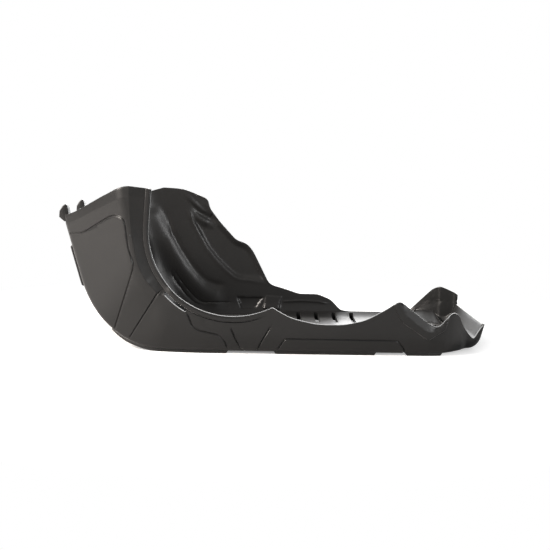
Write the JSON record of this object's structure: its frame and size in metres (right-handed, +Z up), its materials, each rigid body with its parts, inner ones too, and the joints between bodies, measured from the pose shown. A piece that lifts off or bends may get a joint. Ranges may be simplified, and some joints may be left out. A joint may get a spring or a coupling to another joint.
{
  "type": "motorcycle skid plate",
  "caption": "Moulded plastic skid plate that wraps the front and underside of an off-road motorcycle's engine, with side wings, drain slots and wear pads.",
  "frame": {"origin": "middle of the plate's length and width, on the ground under its wear pads", "axes": "+X towards the rear of the motorcycle, +Y towards its right side, +Z up"},
  "size_m": [0.5643, 0.2904, 0.2105],
  "materials": {
    "moulded_plastic": "satin black, fine moulded grain"
  },
  "bodies": {
    "root": {"skid_plate": "moulded_plastic"}
  },
  "joints": []
}
